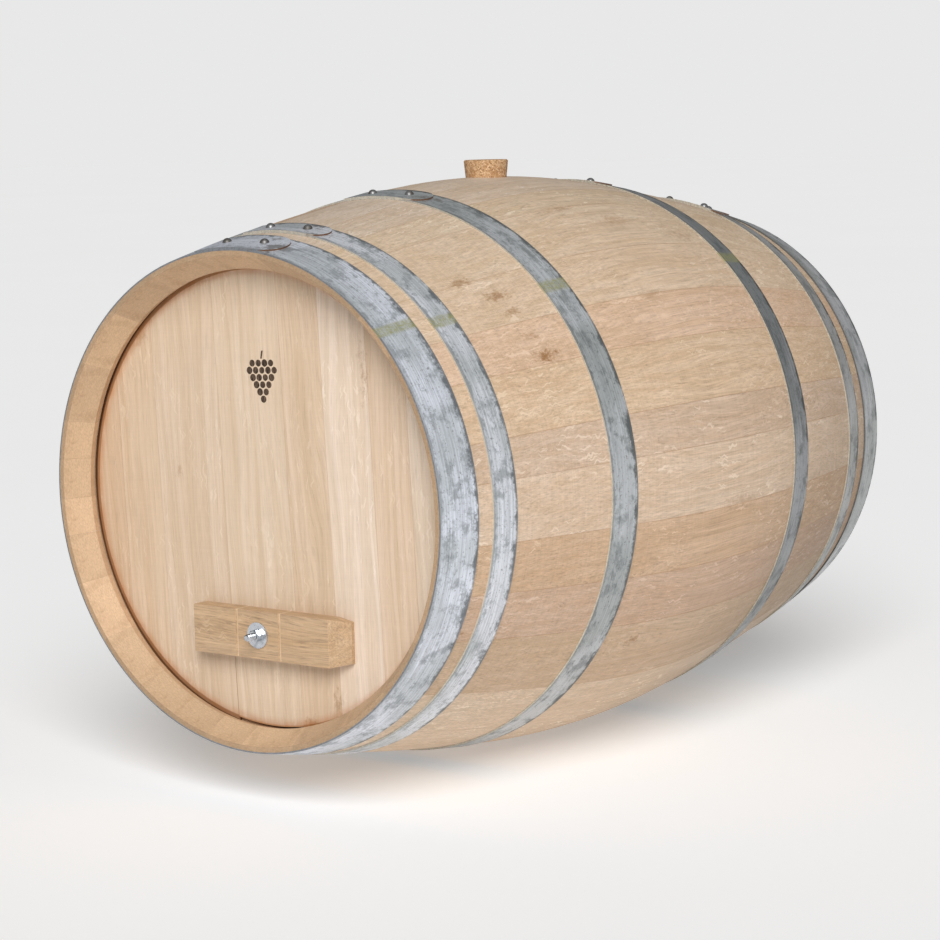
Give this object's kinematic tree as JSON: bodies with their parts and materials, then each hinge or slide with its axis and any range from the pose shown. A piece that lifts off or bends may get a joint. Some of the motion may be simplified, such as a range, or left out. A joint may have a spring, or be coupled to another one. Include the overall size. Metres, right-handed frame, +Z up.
{
  "type": "oak wine barrel",
  "caption": "Wine barrel of bent oak staves in riveted galvanised hoops, lying on its side, with a lift-out bung and a bolted hatch in one head.",
  "frame": {"origin": "the floor point straight under the barrel's middle, where the bilge touches the ground", "axes": "+Z up towards the bung, Y along the barrel's axis with -Y towards the head that has the hatch, +X to the right seen from that head"},
  "size_m": [0.6979, 0.95, 0.719],
  "materials": {
    "stave_oak": "planed oak, oiled by handling",
    "head_oak": "sanded pale oak",
    "bar_oak": "planed oak, darker",
    "dowel_oak": "turned oak",
    "cork": "pressed cork granules",
    "galvanised_steel": "weathered galvanised strip",
    "rivet_steel": "dull steel",
    "zinc_steel": "bright zinc plate"
  },
  "bodies": {
    "barrel": {"bung_stave": "stave_oak", "front_bilge_hoop": "galvanised_steel", "front_chime_hoop": "galvanised_steel", "front_head_board_1": "head_oak", "front_head_board_2": "head_oak", "front_head_board_3": "head_oak", "front_head_board_4": "head_oak", "front_head_board_5": "head_oak", "front_head_board_6": "head_oak", "front_head_board_7": "head_oak", "front_head_board_8": "head_oak", "front_head_dowels": "dowel_oak", "front_quarter_hoop": "galvanised_steel", "hatch_bar": "bar_oak", "hatch_washer": "zinc_steel", "hoop_rivets": "rivet_steel", "rear_bilge_hoop": "galvanised_steel", "rear_chime_hoop": "galvanised_steel", "rear_head_board_1": "head_oak", "rear_head_board_2": "head_oak", "rear_head_board_3": "head_oak", "rear_head_board_4": "head_oak", "rear_head_board_5": "head_oak", "rear_head_board_6": "head_oak", "rear_head_board_7": "head_oak", "rear_head_dowels": "dowel_oak", "rear_quarter_hoop": "galvanised_steel", "stave_01": "stave_oak", "stave_02": "stave_oak", "stave_03": "stave_oak", "stave_04": "stave_oak", "stave_05": "stave_oak", "stave_06": "stave_oak", "stave_07": "stave_oak", "stave_08": "stave_oak", "stave_09": "stave_oak", "stave_10": "stave_oak", "stave_11": "stave_oak", "stave_12": "stave_oak", "stave_13": "stave_oak", "stave_14": "stave_oak", "stave_15": "stave_oak", "stave_16": "stave_oak", "stave_17": "stave_oak", "stave_18": "stave_oak", "stave_19": "stave_oak", "stave_20": "stave_oak", "stave_21": "stave_oak", "stave_22": "stave_oak", "stave_23": "stave_oak", "stave_24": "stave_oak", "stave_25": "stave_oak", "stave_26": "stave_oak", "stave_27": "stave_oak"},
    "bung": {"bung": "cork"},
    "hatch_leaf": {"hatch": "head_oak", "hatch_bolt": "zinc_steel"},
    "nut": {"hatch_nut": "zinc_steel"}
  },
  "joints": [
    {"name": "bung_lift", "type": "slide", "parent": "barrel", "child": "bung", "axis": [0, 0, 1], "range_m": [0, 0.08]},
    {"name": "nut_turn", "type": "hinge", "parent": "barrel", "child": "nut", "pos_m": [0.0025, -0.4555, 0.1955], "axis": [0, -1, 0], "range_deg": [0, 4320]},
    {"name": "hatch_push", "type": "slide", "parent": "barrel", "child": "hatch_leaf", "axis": [0, 1, 0], "range_m": [0, 0.015]}
  ],
  "couplings": [
    {"joint": "nut_turn", "follows": "hatch_push", "rad_per_m": 5026.5}
  ]
}
